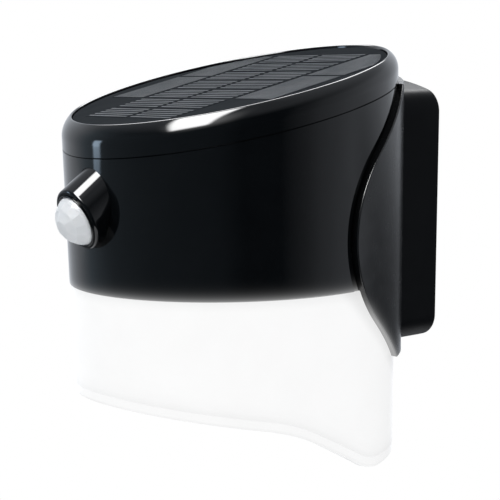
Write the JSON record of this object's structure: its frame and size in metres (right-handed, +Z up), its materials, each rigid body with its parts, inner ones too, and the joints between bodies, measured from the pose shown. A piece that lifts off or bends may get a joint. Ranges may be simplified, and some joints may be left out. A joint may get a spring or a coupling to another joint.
{
  "type": "solar wall lantern",
  "caption": "Solar wall lantern: drum with slanted solar panel top, tilted motion sensor and opal ogee diffuser, in a saddle cradle that lifts off a rounded wall box.",
  "frame": {"origin": "centre of the wall plate's rear face, on the wall", "axes": "+Z up, -Y out from the wall to the lantern's front, +X to the right seen from the front"},
  "size_m": [0.156, 0.1819, 0.1872],
  "materials": {
    "black_gloss": "glossy black ABS moulding",
    "black_rubber": "soft black silicone",
    "panel_laminate": "dark clear-coated solar laminate",
    "solar_cell": "dark silicon cells with fine light fingers",
    "steel": "zinc-plated steel",
    "lens_white": "milky polyethylene Fresnel dome",
    "board_green": "green solder mask",
    "board_white": "white solder mask",
    "tray_white": "white reflector moulding",
    "led_phosphor": "light-emitting diode phosphor",
    "opal": "opal white diffuser, lit from inside",
    "component_black": "black electronic packages",
    "holder_black": "black moulding",
    "battery_wrap": "blue shrink wrap, unmarked",
    "button_rubber": "dark soft-touch button",
    "galvanised": "galvanised sheet"
  },
  "bodies": {
    "wall_bracket": {"wall_box": "black_gloss", "wall_plate": "galvanised", "plate_screws": "steel"},
    "lantern": {"drum_shell": "black_gloss", "bezel_ring": "black_gloss", "panel_gasket": "black_rubber", "solar_panel": "panel_laminate", "solar_cells": "solar_cell", "bezel_screws": "steel", "sensor_barrel": "black_gloss", "sensor_collar": "black_gloss", "sensor_lens": "lens_white", "sensor_board": "board_green", "pir_sensor": "steel", "light_tray": "tray_white", "tray_screws": "steel", "led_board": "board_white", "leds": "led_phosphor", "diffuser": "opal", "diffuser_seal": "black_rubber", "control_board": "board_green", "board_components": "component_black", "board_screws": "steel", "battery_holder": "holder_black", "battery": "battery_wrap", "battery_contacts": "steel", "rear_cradle": "black_gloss", "cradle_screws": "steel", "button_seal": "black_rubber", "switch_board": "board_green", "switch_body": "component_black"},
    "button": {"mode_button": "button_rubber"}
  },
  "joints": [
    {"name": "lantern_lift", "type": "slide", "parent": "wall_bracket", "child": "lantern", "axis": [0, 0, 1], "range_m": [0, 0.032]},
    {"name": "button_press", "type": "slide", "parent": "lantern", "child": "button", "axis": [0, -1, 0], "range_m": [0, 0.0015], "stiffness_N_per_m": 1200}
  ]
}
